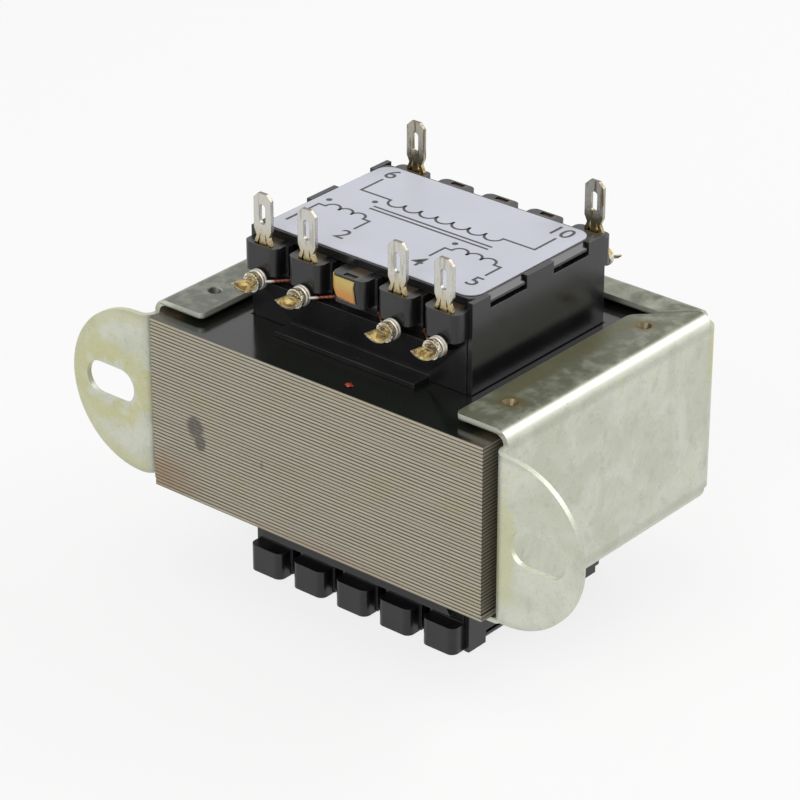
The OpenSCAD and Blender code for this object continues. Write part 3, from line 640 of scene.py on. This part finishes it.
dress(makeCoreSteel(), "e_laminations", "i_laminations")
dress(makeZinc(), "mounting_clamp")
dress(makePlastic("formerPlastic", 0.16, 0.14, pillars=True), "coil_former")
dress(makePlastic("shroudPlastic", 0.09, 0.12), "left_shroud", "right_shroud", "top_lid", "bottom_lid")
dress(makeEnamel("thickEnamelledWire", winding["wireWidth"]), "inner_secondary", "outer_secondary")
dress(makeEnamel("thinEnamelledWire", winding["wireWidth"] * 0.6), "primary_winding")
dress(makeTape(), "primary_tape", "interlayer_tape", "outer_tape", "tape_patch")
dress(makeLabelFilm(), "terminal_label")
dress(makeTinned("frontTags", tags["frontTin"], 0.3), "tag_1", "tag_2", "tag_4", "tag_5")
dress(makeTinned("rearTags", tags["rearTin"], 0.8), "tag_6", "tag_10")
dress(makeSolder(), *(name for name in nodes if name.startswith("solder_")))
print("transformer: every part has its finish")


# print on the label: terminal numbers and the usual sign for the windings

def flatPiece(name, mesh, material):
    piece = bpy.data.objects.new(name, mesh)
    scene.collection.objects.link(piece)
    piece.data.materials.clear()
    piece.data.materials.append(material)
    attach(piece, "root")
    return piece


def stroke(mesh, points, width, z):  # a flat line with mitred corners
    count = len(points)
    sides = ([], [])
    for index, place in enumerate(points):
        before = Vector(points[max(index - 1, 0)])
        after = Vector(points[min(index + 1, count - 1)])
        here = Vector(place)
        incoming = (here - before).normalized() if index else (after - here).normalized()
        outgoing = (after - here).normalized() if index < count - 1 else incoming
        along = (incoming + outgoing).normalized()
        reach = width / 2 / max(0.5, along.dot(outgoing))
        across = Vector((-along.y, along.x)) * reach
        for side, way in zip(sides, (1, -1)):
            side.append(mesh.verts.new((*(here + way * across), z)))
    for index in range(count - 1):
        mesh.faces.new((sides[1][index], sides[1][index + 1], sides[0][index + 1], sides[0][index]))


def coilLoops(left, right, loops, y, way):  # a list of points for each half-round loop
    radius = (right - left) / loops / 2
    base = y - way * label["loopFoot"]
    lines = []
    for loop in range(loops):
        centre = left + radius * (2 * loop + 1)
        angles = [math.pi * part / 14 for part in range(15)]
        arc = [(centre - radius * math.cos(a), y + way * radius * math.sin(a)) for a in angles]
        lines.append([(centre - radius, base), *arc, (centre + radius, base)])
    return lines


def printCoil(work, leads, ends, loops, y, way, leadEnd, z):  # a winding with its two leads
    lines = coilLoops(*ends, loops, y, way)
    base = y - way * label["loopFoot"]
    lines[0][:0] = [(leads[0], leadEnd), (leads[0], base)]
    lines[-1] += [(leads[1], base), (leads[1], leadEnd)]
    for line in lines:
        stroke(work, line, label["strokeWidth"], z)


def makePrint():
    low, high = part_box("terminal_label")
    frontY = low.y / mm
    z = high.z / mm + 0.004
    ink = makeInk()
    rows = (frontY + label["frontRow"], frontY + label["rearRow"])
    work = bmesh.new()
    numberX = {digits: place[0] for digits, place in label["numbers"].items()}

    primaryY = frontY + label["primaryLine"]
    primaryLeads = (numberX["6"], numberX["10"] + 0.6)
    printCoil(work, primaryLeads, label["primaryEnds"], label["primaryLoops"], primaryY, -1,
              rows[1] - label["leadGap"], z)
    reach = label["coreReach"]
    for coreY in label["coreLines"]:
        stroke(work, ((-reach, frontY + coreY), (reach, frontY + coreY)), label["strokeWidth"], z)
    secondaryY = frontY + label["secondaryLine"]
    leadEnd = rows[0] + label["digitHeight"] + label["leadGap"]
    for first, last in (("1", "2"), ("4", "5")):
        left, right = numberX[first], numberX[last]
        ends = (left + label["leadIn"], right - label["leadIn"])
        printCoil(work, (left, right), ends, label["secondaryLoops"], secondaryY, 1, leadEnd, z)
    for dotX, dotY in ((-10.3, primaryY - 1.6), (-15.2, secondaryY + 1.6), (5.4, secondaryY + 1.6)):
        angles = [math.tau * k / label["dotCorners"] for k in range(label["dotCorners"])]
        radius = label["dotRadius"]
        ring = [work.verts.new((dotX + radius * math.cos(a), dotY + radius * math.sin(a), z)) for a in angles]
        work.faces.new(ring)
    bmesh.ops.remove_doubles(work, verts=work.verts, dist=0.002)
    bmesh.ops.scale(work, vec=(mm, mm, mm), verts=work.verts)
    mesh = bpy.data.meshes.new("winding_sign")
    work.to_mesh(mesh)
    work.free()
    flatPiece("winding_sign", mesh, ink)

    for digits, (x, row) in label["numbers"].items():
        text = bpy.data.curves.new("number", "FONT")
        text.body = digits
        text.size = label["digitHeight"] / 0.7 * mm
        text.align_x = "CENTER"
        text.resolution_u = 6
        text.offset = 0.00004
        maker = bpy.data.objects.new("number", text)
        scene.collection.objects.link(maker)
        maker.matrix_world = Matrix.Translation(Vector((x, rows[row], z)) * mm)
        bpy.context.view_layer.update()
        mesh = bpy.data.meshes.new_from_object(maker.evaluated_get(bpy.context.evaluated_depsgraph_get()))
        mesh.transform(maker.matrix_world)
        bpy.data.objects.remove(maker)
        flatPiece(f"number_{digits}", mesh, ink)


makePrint()
print("transformer: the label is printed")


# small things on the core

fleck = {
    "red": (0.55, 0.06, 0.03),
    "darkRed": (0.30, 0.05, 0.03),
    "at": (4.6, 1.35),
    "corners": 11,
    "seed": 4,
}


def makeFleck():
    red, tree, shader = newMaterial("redFleck", Roughness=0.4)
    point, x, y, z = places(tree)
    colour = mix(tree, noise(tree, point, 0.3, 2), fleck["red"], fleck["darkRed"])
    put(tree, shader.inputs["Base Color"], colour)
    chance = random.Random(fleck["seed"])
    atX, atY = fleck["at"]
    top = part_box("e_laminations")[1].z / mm
    work = bmesh.new()
    ring = []
    for k in range(fleck["corners"]):
        angle = math.tau * k / fleck["corners"]
        radius = 0.5 + 0.28 * chance.random() + 0.22 * math.cos(2 * angle)
        ring.append(work.verts.new((atX + 0.8 * radius * math.cos(angle), atY + radius * math.sin(angle),
                                    top + 0.03 + 0.2 * chance.random())))
    tip = work.verts.new((atX, atY, top + 0.32))
    for a, b in zip(ring, ring[1:] + ring[:1]):
        work.faces.new((a, b, tip))
    bmesh.ops.scale(work, vec=(mm, mm, mm), verts=work.verts)
    mesh = bpy.data.meshes.new("enamel_fleck")
    work.to_mesh(mesh)
    work.free()
    flatPiece("enamel_fleck", mesh, red)


makeFleck()
print("transformer: the small things are in place")


# studio

studio = {
    "aim": (-2.72, 19.78, 0.25),
    "azimuth": 39.92,
    "elevation": 27.49,
    "roll": 0.07,
    "distance": 447.86,
    "lens": 157.5,
    "sensor": 36,
    "clipStart": 0.01,
    "sky": 0.40,
    "floorSize": 6.0,
    "floorColour": (0.86, 0.86, 0.85),
    "floorGlow": 0.8,
}


def makeCamera():
    data = bpy.data.cameras.new("camera")
    data.lens = studio["lens"]
    data.sensor_width = studio["sensor"]
    data.clip_start = studio["clipStart"]
    camera = bpy.data.objects.new("camera", data)
    scene.collection.objects.link(camera)
    azimuth, elevation = (math.radians(studio[k]) for k in ("azimuth", "elevation"))
    outward = Vector((math.sin(azimuth) * math.cos(elevation), -math.cos(azimuth) * math.cos(elevation),
                      math.sin(elevation)))
    roll = Matrix.Rotation(math.radians(studio["roll"]), 3, "Z").to_quaternion()
    turn = outward.to_track_quat("Z", "Y") @ roll
    spotAt = (Vector(studio["aim"]) + outward * studio["distance"]) * mm
    camera.matrix_world = Matrix.Translation(spotAt) @ turn.to_matrix().to_4x4()
    scene.camera = camera


def seenAsBackground(tree):  # 1 for the camera and in reflections, 0 for the light that falls on things
    path = tree.nodes.new("ShaderNodeLightPath")
    rays = ("Is Camera Ray", "Is Glossy Ray", "Is Transmission Ray")
    return most(tree, *(path.outputs[ray] for ray in rays))


def makeFloor():
    material, tree, shader = newMaterial("paperFloor", Roughness=0.9)
    shader.inputs["Base Color"].default_value = (*studio["floorColour"], 1)
    output = tree.nodes["Material Output"]
    glow = tree.nodes.new("ShaderNodeEmission")
    glow.inputs["Color"].default_value = (1, 1, 1, 1)
    blendNode = tree.nodes.new("ShaderNodeMixShader")
    put(tree, blendNode.inputs[0], times(tree, seenAsBackground(tree), studio["floorGlow"]))
    tree.links.new(shader.outputs[0], blendNode.inputs[1])
    tree.links.new(glow.outputs[0], blendNode.inputs[2])
    tree.links.new(blendNode.outputs[0], output.inputs["Surface"])
    size = studio["floorSize"] / 2
    mesh = bpy.data.meshes.new("floor")
    corners = [(-size, -size, 0), (size, -size, 0), (size, size, 0), (-size, size, 0)]
    mesh.from_pydata(corners, [], [(0, 1, 2, 3)])
    mesh.materials.append(material)
    floor = bpy.data.objects.new("floor", mesh)
    scene.collection.objects.link(floor)
    floor.location.z = cadBox[0].z


def makeSky():
    world = bpy.data.worlds.new("sky")
    world.use_nodes = True
    tree = world.node_tree
    shade = tree.nodes["Background"]
    shade.inputs["Color"].default_value = (1, 1, 1, 1)
    strength = calc(tree, "MULTIPLY_ADD", seenAsBackground(tree), 1 - studio["sky"], studio["sky"])
    put(tree, shade.inputs["Strength"], strength)
    scene.world = world


lamps = {
    # name: azimuth, elevation, distance, width, height, watts
    "keySoftbox": (150, 36, 620, 500, 320, 1.75),
    "frontSoftbox": (5, 30, 700, 500, 400, 1.7),
    "topSoftbox": (-60, 78, 650, 450, 450, 0.65),
}


def makeLamps():
    middle = Vector(studio["aim"])
    for name, (azimuth, elevation, distance, width, height, watts) in lamps.items():
        data = bpy.data.lights.new(name, "AREA")
        data.shape = "RECTANGLE"
        data.size, data.size_y = width * mm, height * mm
        data.energy = watts
        lamp = bpy.data.objects.new(name, data)
        scene.collection.objects.link(lamp)
        a, e = math.radians(azimuth), math.radians(elevation)
        outward = Vector((math.sin(a) * math.cos(e), -math.cos(a) * math.cos(e), math.sin(e)))
        lamp.matrix_world = (Matrix.Translation((middle + outward * distance) * mm)
                             @ outward.to_track_quat("Z", "Y").to_matrix().to_4x4())


makeCamera()
makeFloor()
makeSky()
makeLamps()
print("transformer: the studio is lit")
